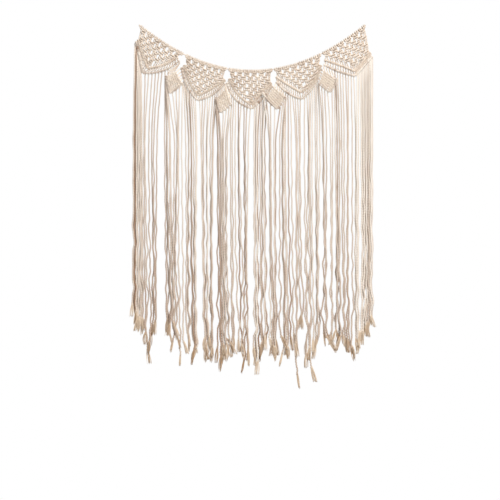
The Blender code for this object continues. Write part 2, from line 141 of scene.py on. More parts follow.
# Where the strands hang. For each bar: its first knot with a hanging strand, then in mm the
# strands' x at each of the three HANG_LEVELS and at their ends, and how far down they end.
HANG_LEVELS = (351, 636, 771)
HANGING = {
    "fringe_1": (0,
        (-333, -331, -329, -327, -324, -322, -319, -317, -315, -313, -311, -309, -303, -301, -290,
         -282, -276, -267, -245, -240),
        (-333, -331, -328, -326, -323, -321, -319, -314, -312, -310, -309, -307, -301, -295, -287,
         -277, -275, -270, -242, -238),
        (-335, -332, -329, -327, -325, -322, -319, -316, -314, -312, -309, -306, -299, -294, -285,
         -278, -273, -270, -240, -234),
        (-328, -326, -324, -322, -319, -317, -315, -313, -311, -309, -307, -305, -299, -297, -284,
         -282, -273, -271, -238, -236),
        (821, 829, 835, 841, 838, 846, 852, 849, 857, 855, 860, 863, 902, 947, 925, 899, 866, 874,
         863, 869)),
    "fringe_2": (4,
        (-186, -178, -177, -171, -170, -164, -157, -155, -143, -142, -137, -128, -126, -118, -112,
         -110),
        (-183, -181, -179, -171, -169, -163, -161, -159, -138, -136, -135, -126, -125, -116, -115,
         -114),
        (-186, -180, -178, -168, -166, -161, -159, -158, -136, -133, -131, -126, -125, -117, -115,
         -113),
        (-182, -180, -178, -168, -162, -160, -159, -154, -133, -131, -128, -126, -124, -114, -112,
         -110),
        (899, 899, 913, 919, 950, 944, 930, 941, 916, 939, 941, 925, 911, 925, 936, 947)),
    "fringe_3": (4,
        (-61, -56, -48, -39, -37, -23, -19, -11, 5, 9, 12, 15, 22, 27, 29, 35),
        (-59, -54, -46, -36, -29, -20, -18, -16, 6, 8, 14, 16, 23, 28, 35, 37),
        (-57, -55, -41, -33, -24, -22, -16, -14, 7, 10, 13, 16, 25, 27, 35, 38),
        (-56, -51, -36, -29, -27, -20, -15, -10, 5, 12, 14, 21, 26, 28, 35, 40),
        (927, 911, 919, 922, 933, 975, 941, 955, 941, 961, 978, 944, 930, 927, 911, 902)),
    "fringe_4": (4,
        (90, 92, 101, 110, 123, 126, 132, 134, 146, 158, 160, 162, 168, 177, 182, 190),
        (94, 96, 104, 113, 123, 125, 130, 136, 149, 152, 159, 164, 168, 180, 182, 184),
        (97, 99, 106, 115, 124, 126, 134, 143, 151, 154, 162, 164, 171, 181, 183, 185),
        (97, 101, 108, 113, 122, 124, 136, 138, 152, 154, 161, 163, 172, 177, 184, 189),
        (941, 925, 913, 905, 927, 1014, 852, 849, 958, 925, 941, 997, 919, 936, 916, 908)),
    "fringe_5": (4,
        (238, 244, 251, 258, 267, 269, 280, 290, 292, 298, 305, 309, 312, 316, 319, 323, 326, 330,
         333, 337),
        (236, 245, 253, 258, 266, 268, 280, 289, 294, 297, 308, 311, 314, 317, 320, 324, 327, 330,
         333, 336),
        (237, 246, 257, 259, 267, 269, 282, 290, 292, 297, 306, 310, 313, 317, 320, 323, 327, 330,
         333, 336),
        (235, 243, 252, 259, 266, 275, 277, 290, 295, 299, 304, 308, 311, 314, 317, 320, 324, 327,
         330, 333),
        (894, 905, 908, 916, 922, 930, 939, 916, 911, 925, 897, 883, 894, 871, 877, 863, 869, 860,
         852, 846)),
    "leaf_fringe_1": (0,
        (-238, -231, -229, -217, -210, -208, -206, -197),
        (-233, -228, -225, -222, -218, -215, -206, -194),
        (-229, -226, -222, -219, -216, -210, -203, -193),
        (-231, -227, -221, -219, -217, -210, -201, -192),
        (902, 877, 922, 871, 885, 911, 961, 927)),
    "leaf_fringe_2": (0,
        (-97, -95, -90, -86, -83, -80, -74, -70),
        (-96, -91, -88, -85, -82, -78, -75, -72),
        (-95, -89, -87, -82, -78, -75, -72, -67),
        (-97, -88, -86, -84, -78, -74, -69, -64),
        (944, 967, 950, 933, 944, 927, 919, 939)),
    "leaf_fringe_3": (0,
        (48, 50, 52, 61, 65, 77, 83, 85),
        (50, 52, 54, 63, 65, 77, 86, 88),
        (50, 57, 60, 63, 66, 78, 90, 92),
        (51, 58, 60, 66, 68, 79, 85, 91),
        (916, 936, 930, 939, 922, 911, 955, 936)),
    "leaf_fringe_4": (0,
        (198, 200, 208, 219, 225, 232, 238, 245),
        (202, 204, 206, 221, 223, 237, 240, 242),
        (198, 204, 206, 221, 223, 237, 239, 245),
        (196, 206, 213, 223, 225, 233, 241, 247),
        (899, 911, 908, 916, 899, 891, 871, 908)),
}

# Centre lines of the cords in one knot: across, depth (the front is minus) and up, in mm. The front
# worker comes from the left and passes twice before the two fillers, the back worker comes from the
# right and passes twice behind them, and each lies over the other where it turns in.
FRONT_WORKER = np.array([
    (-5.9, -0.2, 4.9), (-5.4, -0.5, 4.3), (-3.6, -2.6, 3.6), (0.0, -3.7, 2.8), (3.6, -2.6, 3.0),
    (5.8, -0.5, 2.8), (7.2, 0.2, 0.3), (6.2, -0.2, -2.3), (3.6, -2.6, -3.0), (0.0, -3.7, -2.7),
    (-3.6, -2.5, -3.0), (-5.9, -0.3, -3.7), (-6.4, 0.0, -4.9)])
BACK_WORKER = np.array([
    (5.8, -0.8, 5.0), (5.9, -2.5, 3.6), (5.5, -1.0, 1.7), (3.8, 2.2, 1.5), (0.0, 3.6, 2.0),
    (-4.0, 2.3, 2.9), (-5.6, -1.0, 3.5), (-6.6, -3.1, 2.2), (-7.0, -3.1, -0.6), (-5.7, -1.3, -3.0),
    (-3.8, 2.2, -2.8), (0.0, 3.6, -2.3), (4.0, 2.3, -2.3), (6.1, -1.6, -2.6), (6.4, -0.6, -4.9)])
FILLER = np.array([(2.3, 0.0, 4.7), (2.0, 0.0, 0.0), (2.3, 0.0, -4.7)])
# Half of a lark's head, from the middle of its front bar round the header to the leg
LARKS_HEAD = np.array([
    (0.0, -3.9, -4.2), (2.2, -3.8, -4.3), (3.9, -1.8, -4.1), (3.8, 1.6, -3.0), (3.1, 3.5, -0.6),
    (2.7, 2.8, 2.1), (2.6, 0.0, 3.4), (2.5, -2.8, 2.1), (2.4, -3.7, -0.4), (2.3, -2.2, -3.0),
    (2.3, -0.6, -5.2)])


def row(columns, values):
    """Values of one table row by column name."""
    return dict(zip(columns, values))


# ---------------------------------------------------------------- sizes and colours to change


class CordSettings(bpy.types.PropertyGroup):
    thickness: FloatProperty(name="Cord", description="Thickness of a free strand", unit="LENGTH",
                             default=4.2 * MM, min=2 * MM, max=6 * MM)
    knotted: FloatProperty(name="Knotted cord", description="Thickness of a strand inside a knot",
                           unit="LENGTH", default=3.9 * MM, min=2 * MM, max=5 * MM)
    hitched: FloatProperty(name="Hitched cord", description="Thickness of a strand in a tight bar",
                           unit="LENGTH", default=4.1 * MM, min=2 * MM, max=5 * MM)
    lay: FloatProperty(name="Lay", description="Length of one full turn of the three plies",
                       unit="LENGTH", default=22 * MM, min=6 * MM, max=40 * MM)
    groove: FloatProperty(name="Groove", description="Depth of the groove between two plies, as a "
                          "share of the radius", subtype="FACTOR", default=0.42, min=0, max=0.5)
    # The dark tone is painted shade in the grooves between plies, and also the darker end of the
    # cotton's uneven tone; the light tone is clean cotton on the ridges
    light: StringProperty(name="Light tone", description="sRGB hex of clean cotton",
                          default="FAEEE0")
    shade: StringProperty(name="Dark tone", description="sRGB hex of cotton in its grooves",
                          default="A8815E")


class FringeSettings(bpy.types.PropertyGroup):
    waver: FloatProperty(name="Waver", description="How far a strand waves near its end",
                         unit="LENGTH", default=2.6 * MM, min=0, max=8 * MM)
    frayed: FloatProperty(name="Frayed length", description="Length of a strand's brushed end",
                          unit="LENGTH", default=36 * MM, min=5 * MM, max=60 * MM)
    spread: FloatProperty(name="Frayed spread", description="How far the yarns of an end spread",
                          unit="LENGTH", default=3.6 * MM, min=0, max=12 * MM)
    yarns: IntProperty(name="Yarns", description="Loose yarns at each end", default=16, min=3,
                       max=24)
    swell: FloatProperty(name="Swell", description="How much thicker a strand is at its end, "
                         "where its twist has loosened", subtype="FACTOR", default=0.36, min=0,
                         max=1)


class StageSettings(bpy.types.PropertyGroup):
    distance: FloatProperty(name="Camera distance", description="From the hanging to the camera",
                            unit="LENGTH", default=5.0, min=1, max=20)
    frame_width: FloatProperty(name="Frame width", description="Width of the view at the hanging",
                               unit="LENGTH", default=1.4, min=0.5, max=5)
    floor_drop: FloatProperty(name="Floor", description="Height of the floor", unit="LENGTH",
                              default=-1.0, min=-3, max=-0.6)


# ---------------------------------------------------------------- curves of the design


def unit(v):
    return v / np.linalg.norm(v, axis=-1, keepdims=True)


def header_point(x):
    """z = header height - sag (1 - (x / half span) squared): a parabola between its two ends."""
    x = np.asarray(x, float)
    return np.stack([x, HEADER_Z - HEADER_SAG * (1 - (x / (HEADER_SPAN / 2)) ** 2)], -1)


def bowed(start, end, bow, f):
    """start + along f + side bow 4 f (1 - f): a parabola that bows to its right by `bow`."""
    along = end - start
    side = np.array([along[1], -along[0]]) / np.linalg.norm(along)
    f = np.asarray(f, float)[..., None]
    return start + along * f + side * (bow * 4 * f * (1 - f))


class VBar:
    """The middle line of a V-shaped bar, with a parameter s that counts its hitches."""

    def __init__(self, shape, knots):
        self.knots = knots
        self.left, self.tip, self.right = (
            np.array([shape[k + "x"] * MM, HEADER_Z - shape[k + "z"] * MM]) for k in "ltr")
        self.bow_l, self.bow_r = shape["bow_l"] * MM, shape["bow_r"] * MM

    def middle(self, s):
        """Two bowed arms that meet at the tip, where s is half the number of hitches."""
        s, half = np.asarray(s, float), self.knots / 2
        left = bowed(self.left, self.tip, self.bow_l, np.minimum(s, half) / half)
        right = bowed(self.tip, self.right, self.bow_r, np.maximum(s - half, 0) / half)
        return np.where((s <= half)[..., None], left, right)

    def along(self, s):
        """From left to right, averaged over the neighbouring hitches."""
        low, high = np.maximum(s - SMOOTHING, 0), np.minimum(s + SMOOTHING, self.knots)
        return unit(self.middle(high) - self.middle(low))

    def up(self, s):
        along = self.along(s)
        return np.stack([-along[..., 1], along[..., 0]], -1)

    def edge(self, s, offset):
        return self.middle(s) + self.up(s) * offset


def outer_bar(number):
    return VBar(row(V_COLUMNS, OUTER_V[number]), STRANDS)


def outer_slot(k):
    """Where strand k is tied on the outer bar: the hitches crowd a little towards both shoulders,
    which leaves room at the tip and sets the ladder's strands square to the bars."""
    side = -1 if k < STRANDS / 2 else 1
    return k + 0.5 + side * TIP_SHIFT * (1 - abs(k + 0.5 - STRANDS / 2) / (STRANDS / 2))


def leaf_bar(number):
    return VBar(row(LEAF_COLUMNS, LEAVES[number]), LEAF_STRANDS)


class Net:
    """Where the strand lines of one panel run, from the header to its inner bar."""

    def __init__(self, number):
        self.x0, self.x1 = (x * MM for x in PANELS[number][:2])
        self.rows = PANELS[number][2]
        self.inner = VBar(row(V_COLUMNS, INNER_V[number]), STRANDS)
        self.outer = outer_bar(number)

    def place(self, u, drop):
        """A point on strand line u, `drop` down from the header towards the inner bar."""
        top = header_point(self.x0 + (self.x1 - self.x0) * u / STRANDS)
        return top + unit(self.inner.edge(u, BAR_WIDTH / 2) - top) * drop

    def length(self, u):
        """Of strand line u from the header to the inner bar."""
        top = header_point(self.x0 + (self.x1 - self.x0) * u / STRANDS)
        return np.linalg.norm(self.inner.edge(u, BAR_WIDTH / 2) - top, axis=-1)

    def spot(self, u, drop):
        """A knot's middle, with the directions across it and up it and the strands' pitch."""
        across = self.place(u + 0.5, drop) - self.place(u - 0.5, drop)
        up = unit(self.place(u, drop - MM) - self.place(u, drop))
        return self.place(u, drop), unit(across), up, np.linalg.norm(across)

    def middles(self):
        """Strand, drop and tilt of each square knot: in every row that fits above the bar, with the
        rows set off by half a knot. The last ones are tilted if that makes room for them."""
        for r in range(self.rows):
            drop = SECOND_ROW + (r - 1) * ROW_PITCH if r else FIRST_ROW
            for knot in range(2 * (r % 2), STRANDS - 3, 4):
                reach = self.length(knot + np.array([0.5, 1.5, 2.5, 3.5]))
                pitch = self.spot(knot + 2, drop)[3]
                slope = (reach[3] - reach[0]) / (3 * pitch)
                for tilt in (0.0, np.clip(slope, -0.35, 0.35), np.clip(slope, -0.7, 0.7)):
                    low = drop + KNOT_ROOM + tilt * pitch * np.array([-1.5, -0.5, 0.5, 1.5])
                    if (low <= reach).all():
                        yield knot, drop, tilt
                        break


class Leaf:
    """The rhombus of one leaf: a runs down along its left side and b along its right side."""

    def __init__(self, number):
        self.shape = row(LEAF_COLUMNS, LEAVES[number])
        self.bar = leaf_bar(number)
        self.top = np.array([self.shape["ux"] * MM, HEADER_Z - self.shape["uz"] * MM])
        self.half, self.rim = LEAF_STRANDS / 2, LEAF_BAR_WIDTH / 2 + EDGE_GAP
        self.first = self.shape["start"] * self.half

    def place(self, a, b):
        """Filled in between the four edges: the blend of each pair of opposite edges, added up,
        less the blend of the four corners."""
        edge = self.bar.edge
        left, tip, right = (edge(s, self.rim) for s in (self.first, self.half, LEAF_STRANDS))
        low_l = edge(self.first + (self.half - self.first) * b, self.rim)
        low_r = edge(LEAF_STRANDS - self.half * a, self.rim)
        up_l, up_r = self.top + (left - self.top) * a, self.top + (right - self.top) * b
        corners = (self.top * (1 - a) * (1 - b) + left * a * (1 - b) + right * (1 - a) * b
                   + tip * a * b)
        return up_r * (1 - a) + low_l * a + up_l * (1 - b) + low_r * b - corners

    def spot(self, a, b):
        """A crossing's middle, with the directions along the held cord and up, the pitch along the
        cord and the room up to the next cord."""
        along = (self.place(a, b + 0.1) - self.place(a, b - 0.1)) / 0.2 / LEAF_CELLS
        above = (self.place(a - 0.1, b) - self.place(a + 0.1, b)) / 0.2 / LEAF_ROWS
        pitch, along = np.linalg.norm(along), unit(along)
        up = np.array([-along[1], along[0]])
        if np.dot(up, above) < 0:
            up = -up
        return self.place(a, b), along, up, pitch, np.dot(up, above)


# ---------------------------------------------------------------- centre lines of the cords


def set_in(middle, across, up, shape, radius, depth=0.0):
    """A knot's centre line (across, depth, up, in mm) put in its place, with its radius."""
    flat = middle + np.outer(shape[:, 0] * MM, across) + np.outer(shape[:, 2] * MM, up)
    return np.column_stack([flat[:, 0], shape[:, 1] * MM + depth, flat[:, 1],
                            np.full(len(shape), radius)])


def hitch(middle, along, up, pitch, radius, depth=0.0, lead=1.6, room=0.0):
    """A half hitch of two or more wraps, as many as fill the pitch: up = high cos(t), depth =
    reach sin(t), and along moves on by one wrap each time t passes behind the core."""
    reach = radius + 0.3 * MM
    high = max(reach, room / 2 - 0.5 * radius)
    wraps = max(2, round(pitch / (2.1 * radius)))
    wrap = min(pitch / wraps, 2.1 * radius)
    t = np.radians(np.arange(45.0, 360.0 * wraps + 140.0, 45.0))
    moved = sum(np.clip((np.degrees(t) - 375 - 360 * k) / 150, 0, 1) for k in range(wraps - 1))
    shift = wrap * (moved - (wraps - 1) / 2 + 0.08 * np.sin(t))
    flatness = 0.5 if room else 1.0
    rise = np.concatenate([[high + lead * MM], high * np.cos(t), [-high - lead * MM]])
    deep = reach * np.sign(np.sin(t)) * np.abs(np.sin(t)) ** flatness
    deep = np.concatenate([[0.8 * reach], deep, [0.8 * reach]])
    shift = np.concatenate([[-wrap / 3], shift, [wrap / 3]])
    flat = middle + np.outer(shift, along) + np.outer(rise, up)
    return np.column_stack([flat[:, 0], deep + depth, flat[:, 1], np.full(len(rise), radius)])


def points(flat, depth, radius):
    """Route points from places in the XZ plane."""
    flat = np.atleast_2d(flat)
    return np.column_stack([flat[:, 0], np.broadcast_to(depth, len(flat)), flat[:, 1],
                            np.broadcast_to(radius, len(flat))])


def eased(route, finest, coarsest):
    """A smooth cord through the route's points: cubic pieces on the square root of the chord
    length, with rings set closer where it bends."""
    route = route[np.concatenate([[True], np.linalg.norm(np.diff(route[:, :3], axis=0), axis=1)
                                  > 0.05 * MM])]
    chord = np.linalg.norm(np.diff(route[:, :3], axis=0), axis=1)
    knot = np.concatenate([[0], np.cumsum(np.sqrt(chord))])
    slope = np.gradient(route, knot, axis=0)
    t = np.linspace(0, knot[-1], int(chord.sum() / SAMPLE) + 8)
    i = np.clip(np.searchsorted(knot, t, side="right") - 1, 0, len(knot) - 2)
    h = (knot[i + 1] - knot[i])[:, None]
    f = (t - knot[i])[:, None] / h
    fine = ((2 * f ** 3 - 3 * f ** 2 + 1) * route[i] + (f ** 3 - 2 * f ** 2 + f) * h * slope[i]
            + (3 * f ** 2 - 2 * f ** 3) * route[i + 1] + (f ** 3 - f ** 2) * h * slope[i + 1])
    step = np.linalg.norm(np.diff(fine[:, :3], axis=0), axis=1)
    length = np.concatenate([[0], np.cumsum(step)])
    way = unit(np.gradient(fine[:, :3], length, axis=0))
    bend = np.linalg.norm(np.gradient(way, length, axis=0), axis=1)
    bend = np.convolve(np.pad(bend, 4, mode="edge"), np.ones(9) / 9, mode="valid")
    spacing = np.clip(RING_TURN / np.maximum(bend, 1e-6), finest, coarsest)
    count = np.concatenate([[0], np.cumsum(step / ((spacing[1:] + spacing[:-1]) / 2))])
    rings = max(int(count[-1]) + 1, 3)
    at = np.interp(np.linspace(0, count[-1], rings), count, length)
    return np.column_stack([np.interp(at, length, fine[:, k]) for k in range(4)]), at


def carried_frames(path, length):
    """Two directions across the path at each ring that turn no more than the path does: an
    arbitrary pair's turn about the path is added up along it and taken off again."""
    way = unit(np.gradient(path, length, axis=0))
    side = unit(np.cross(way, np.array([0.31, 0.89, 0.17])))
    before, after, held = way[:-1], way[1:], side[:-1]
    axis = np.cross(before, after)
    cos = np.einsum("ij,ij->i", before, after)[:, None]
    carried = held * cos + np.cross(axis, held) + axis * (
        np.einsum("ij,ij->i", axis, held)[:, None] / (1 + cos))
    turn = np.arctan2(np.einsum("ij,ij->i", np.cross(carried, side[1:]), after),
                      np.einsum("ij,ij->i", carried, side[1:]))
    turn = np.concatenate([[0], np.cumsum(turn)])[:, None]
    u = side * np.cos(turn) - np.cross(way, side) * np.sin(turn)
    return u, np.cross(way, u)


# ---------------------------------------------------------------- surfaces


class Surface:
    """Gathers tubes on (ring, side) grids for one mesh."""

    def __init__(self):
        self.verts, self.quads, self.caps, self.uvs, self.ply, self.tone = [], [], [], [], [], []
        self.kinds, self.cap_kinds, self.count = [], [], 0

    def add_tubes(self, grid, along, ply, tone, kind):
        """grid is (tubes, rings, sides, 3). Each tube is closed at both ends by a flat cap."""
        tubes, rings, sides = grid.shape[:3]
        index = self.count + np.arange(tubes * rings * sides).reshape(tubes, rings, sides)
        a, b = index[:, :-1], np.roll(index, -1, axis=2)[:, :-1]
        d, c = index[:, 1:], np.roll(index, -1, axis=2)[:, 1:]
        self.quads.append(np.stack([a, b, c, d], -1).reshape(-1, 4))
        around = np.arange(sides + 1) / sides * UV_AROUND
        u = np.broadcast_to(around, (tubes, rings, sides + 1))
        v = np.broadcast_to((along / MM)[..., None], (tubes, rings, sides + 1))
        uv = np.stack([u, v], -1)
        self.uvs.append(np.stack([uv[:, :-1, :-1], uv[:, :-1, 1:], uv[:, 1:, 1:], uv[:, 1:, :-1]],
                                 3).reshape(-1, 4, 2))
        self.caps.append(np.concatenate([index[:, 0, ::-1], index[:, -1]]))
        self.cap_kinds.append(np.full(2 * tubes, kind))
        self.kinds.append(np.full(tubes * (rings - 1) * sides, kind))
        self.verts.append(grid.reshape(-1, 3))
        self.ply.append(np.broadcast_to(ply, (tubes, rings, sides)).ravel())
        self.tone.append(np.broadcast_to(tone, (tubes, rings, sides)).ravel())
        self.count += tubes * rings * sides

    def add_cord(self, route, cord, tone=0.0, finest=1.0 * MM, coarsest=2.34 * MM, phase=0.0):
        """A three-ply cord: around the path, radius (1 - groove) between two plies and the full
        radius on a ply, turned by one full turn for each lay. Where it has swollen its tone is
        darker."""
        path, along = eased(route, finest, coarsest)
        u, v = carried_frames(path[:, :3], along)
        # ply is 1 on a ridge and 0 in a groove; the material paints shade in the grooves from it
        ridge = np.arange(SIDES) % 2
        share = np.where(ridge == 1, 1.0, 1.0 - cord.groove)
        angle = (2 * np.pi * np.arange(SIDES) / SIDES + phase)[None, :] + (
            2 * np.pi * along / cord.lay)[:, None]
        radius = path[:, 3:] * share
        grid = (path[:, None, :3] + (radius * np.cos(angle))[..., None] * u[:, None]
                + (radius * np.sin(angle))[..., None] * v[:, None])
        # Darker where the cord has swollen, towards a strand's end
        tone = tone - SWELL_DARKENING * np.maximum(path[:, 3] / (cord.thickness / 2) - 1, 0)
        self.add_tubes(grid[None], along[None], ridge, tone[None, :, None], 0)

    def add_yarns(self, paths, radii, tone):
        """Thin three-sided yarns with level rings, which end almost in a point."""
        angle = 2 * np.pi * np.arange(3) / 3
        ring = np.stack([np.cos(angle), np.sin(angle), np.zeros(3)], -1)
        grid = paths[:, :, None] + radii[..., None, None] * ring
        step = np.linalg.norm(np.diff(paths, axis=1), axis=2)
        along = np.concatenate([np.zeros((len(paths), 1)), np.cumsum(step, axis=1)], axis=1)
        grid, along = grid[:, ::-1], along[:, ::-1]
        self.add_tubes(grid, along, 1.0, tone[:, None, None], 1)

    def piece(self, name, materials, slot):
        """One smooth object at the origin, which rides on the hanging's body."""
        loops, starts, kinds, start = [], [], [], 0
        for faces, kind in ([(q, k) for q, k in zip(self.quads, self.kinds)]
                            + [(c, k) for c, k in zip(self.caps, self.cap_kinds)]):
            loops.append(faces.ravel())
            starts.append(start + np.arange(len(faces)) * faces.shape[1])
            kinds.append(kind)
            start += faces.size
        mesh = bpy.data.meshes.new(name)
        mesh.vertices.add(self.count)
        mesh.vertices.foreach_set("co", np.concatenate(self.verts).astype(np.float32).ravel())
        mesh.loops.add(start)
        mesh.loops.foreach_set("vertex_index", np.concatenate(loops).astype(np.int32))
        starts = np.concatenate(starts).astype(np.int32)
        mesh.polygons.add(len(starts))
        mesh.polygons.foreach_set("loop_start", starts)
        mesh.polygons.foreach_set("material_index", np.concatenate(kinds).astype(np.int32))
        mesh.update(calc_edges=True)
        mesh.shade_smooth()
        uv = np.zeros((start, 2), np.float32)
        flat = np.concatenate(self.uvs).reshape(-1, 2)
        uv[:len(flat)] = flat
        mesh.uv_layers.new(name="UVMap").data.foreach_set("uv", uv.ravel())
        for label, values in (("ply", self.ply), ("tone", self.tone)):
            layer = mesh.attributes.new(label, "FLOAT", "POINT")
            layer.data.foreach_set("value", np.concatenate(values).astype(np.float32))
        for material in materials:
            mesh.materials.append(material)
        item = bpy.data.objects.new(name, mesh)
        bpy.context.scene.collection.objects.link(item)
        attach(item, "root")
        return item


# ---------------------------------------------------------------- materials


def linear(hex_colour):
    """sRGB hex to linear light."""
    c = np.array([int(hex_colour[k:k + 2], 16) for k in (0, 2, 4)]) / 255
    c = np.where(c <= 0.04045, c / 12.92, ((c + 0.055) / 1.055) ** 2.4)
    return (*c.tolist(), 1.0)


def node(tree, kind, inputs=(), **settings):
    """Adds one node. Each input is (socket, value or the output socket that feeds it)."""
    made = tree.nodes.new(kind)
    for key, value in settings.items():
        setattr(made, key, value)
    for key, value in inputs:
        if isinstance(value, bpy.types.NodeSocket):
            tree.links.new(value, made.inputs[key])
        else:
            made.inputs[key].default_value = value
    return made


def cotton_cord(name, light, shade, contrast, fibre):
    """Carded cotton spun into yarns and laid up in three plies: matt, softly uneven in tone, with
    the fine lines of its fibres along each ply and painted shade in the grooves between plies."""
    material = bpy.data.materials.get(name)
    if material:
        return material
    material = bpy.data.materials.new(name)
    material.use_nodes = True
    tree = material.node_tree
    shader = tree.nodes["Principled BSDF"]
    uv = node(tree, "ShaderNodeTexCoord").outputs["UV"]
    place = node(tree, "ShaderNodeTexCoord").outputs["Object"]
    ply = node(tree, "ShaderNodeAttribute", attribute_name="ply").outputs["Fac"]
    tone = node(tree, "ShaderNodeAttribute", attribute_name="tone").outputs["Fac"]
    # Fibre lines 0.5 mm apart and 5 mm long, coarser than the real ones so that they show.
    lines = node(tree, "ShaderNodeMapping", [("Vector", uv), ("Scale", (2.0, 0.2, 1.0))])
    lines = node(tree, "ShaderNodeTexNoise", [("Vector", lines.outputs[0]), ("Scale", 1.0),
                                              ("Detail", 2.0), ("Roughness", 0.6)])
    # Slow change of tone over 40 mm of cord, where it was handled.
    cloud = node(tree, "ShaderNodeTexNoise", [("Vector", place), ("Scale", 25.0), ("Detail", 2.0)])
    # Painted shade: the mix runs from the dark tone in a groove (ply 0) to the light tone on a
    # ridge (ply 1), as far as contrast says; the fibre lines, the slow cloud and the strand's tone
    # shift it
    a = node(tree, "ShaderNodeMath", [(0, ply), (1, contrast)], operation="MULTIPLY")
    b = node(tree, "ShaderNodeMath", [(0, lines.outputs["Fac"]), (1, 0.5), (2, a.outputs[0])],
             operation="MULTIPLY_ADD")
    c = node(tree, "ShaderNodeMath", [(0, cloud.outputs["Fac"]), (1, 0.45), (2, b.outputs[0])],
             operation="MULTIPLY_ADD")
    d = node(tree, "ShaderNodeMath", [(0, c.outputs[0]), (1, tone)], operation="ADD")
    amount = node(tree, "ShaderNodeMapRange", [("Value", d.outputs[0]), ("From Min", 0.15),
                                               ("From Max", max(0.85, 0.3 + contrast))])
    colour = node(tree, "ShaderNodeMix", [(0, amount.outputs[0]), (6, linear(shade)),
                                          (7, linear(light))], data_type="RGBA")
    bump = node(tree, "ShaderNodeBump", [("Height", lines.outputs["Fac"]), ("Strength", fibre),
                                         ("Distance", 0.25 * MM)])
    tree.links.new(colour.outputs[2], shader.inputs["Base Color"])
    tree.links.new(bump.outputs[0], shader.inputs["Normal"])
    shader.inputs["Roughness"].default_value = 0.88
    shader.inputs["IOR"].default_value = 1.46
    shader.inputs["Specular IOR Level"].default_value = 0.25
    return material


def knotted_cotton(cord):
    """Cord pulled tight in knots, with lighter painted shade in its grooves than a free strand."""
    return cotton_cord("natural_cotton_cord_knotted", cord.light, cord.shade, 0.6, 0.5)


def free_cotton():
    """Long free strands, with the deepest painted shade in their grooves."""
    return cotton_cord("natural_cotton_cord_plied", *FREE_TONES, 1.0, 0.6)


def frayed_cotton():
    """Unspun ends, whose fibres stand apart, in a little darker and browner tones."""
    return cotton_cord("natural_cotton_yarn_frayed", *FRAYED_TONES, 0.3, 0.3)


def flat_material(name, hex_colour, roughness):
    """A plain painted studio floor."""
    material = bpy.data.materials.new(name)
    material.use_nodes = True
    shader = material.node_tree.nodes["Principled BSDF"]
    shader.inputs["Base Color"].default_value = linear(hex_colour)
    shader.inputs["Roughness"].default_value = roughness
    return material


# ---------------------------------------------------------------- header, nets and leaves


def header_line(x):
    return header_point(x) - (0, HEADER_SINK)


def stopper_knot(x, side, radius):
    """An overhand knot at the header's end: a loop and a half round the cord, then its tail."""
    t = np.radians(np.arange(0, 500, 40.0))
    middle = header_line(x)
    along = unit(header_point(x + MM) - header_point(x - MM)) * side
    up = np.array([-along[1], along[0]]) * side
    out = 0.2 + 1.9 * t / t[-1]
    wide = 1.9 * np.sin(np.pi * np.clip(t / t[-1] * 1.1, 0, 1)) ** 0.5
    flat = (middle + np.outer(out * MM, along) + np.outer(wide * np.cos(t) * MM, up))
    return np.column_stack([flat[:, 0], wide * np.sin(t) * MM, flat[:, 1],
                            np.full(len(t), radius)])


def header_route(cord):
    """The parabola of the header, with a stopper knot tied just past each end."""
    half = HEADER_SPAN / 2
    radius = cord.knotted / 2
    line = points(header_line(np.linspace(-half + 4 * MM, half - 4 * MM, 60)), 0.0, radius)
    return np.concatenate([stopper_knot(-half, -1, radius)[::-1], line,
                           stopper_knot(half, 1, radius)])


def larks_head(net, k, radius):
    """One leg of the knot that holds strands k and its partner on the header."""
    u = 2 * (k // 2) + 1
    x = net.x0 + (net.x1 - net.x0) * u / STRANDS
    across = unit(header_point(x + MM) - header_point(x - MM))
    up = np.array([-across[1], across[0]])
    shape = LARKS_HEAD * (-1 if k % 2 == 0 else 1, 1, 1)
    return set_in(header_line(x), across, up, shape, radius)


def square_knot(net, knot, drop, tilt, radius, dice):
    """Routes of the four strands of a square knot. Each is turned and moved a little, as tied by
    hand."""
    middle, across, up, pitch = net.spot(knot + 2, drop)
    turn, slip, rise, size = dice.normal(0, 1, 4) * (0.05, 0.35 * MM, 0.3 * MM, 0.03)
    middle = middle + across * slip + up * rise
    turn -= tilt
    across, up = unit(across + up * turn), unit(up - across * turn)
    widest = 7.2 * MM + radius
    gap = FIRST_GAP if drop == FIRST_ROW else KNOT_GAP
    wide = (2 * pitch - gap / 2) / widest
    shapes = (FRONT_WORKER, FILLER * (-1, 1, 1), FILLER, BACK_WORKER)
    return [set_in(middle, across * wide, up * 1.1, shape * (1 + size), radius) for shape in shapes]


def bar_hitch(bar, s, radius, depth=0.0, lead=1.6):
    pitch = np.linalg.norm(bar.middle(s + 0.5) - bar.middle(s - 0.5))
    return hitch(bar.middle(s), bar.along(s), bar.up(s), pitch, radius, depth, lead)


def core(bar, radius, depth=0.0):
    """The cord that the hitches of a bar are tied round. It shows at the shoulders only."""
    s = np.linspace(0.0, bar.knots, 4 * bar.knots + 1)
    return points(bar.middle(s), depth, radius)


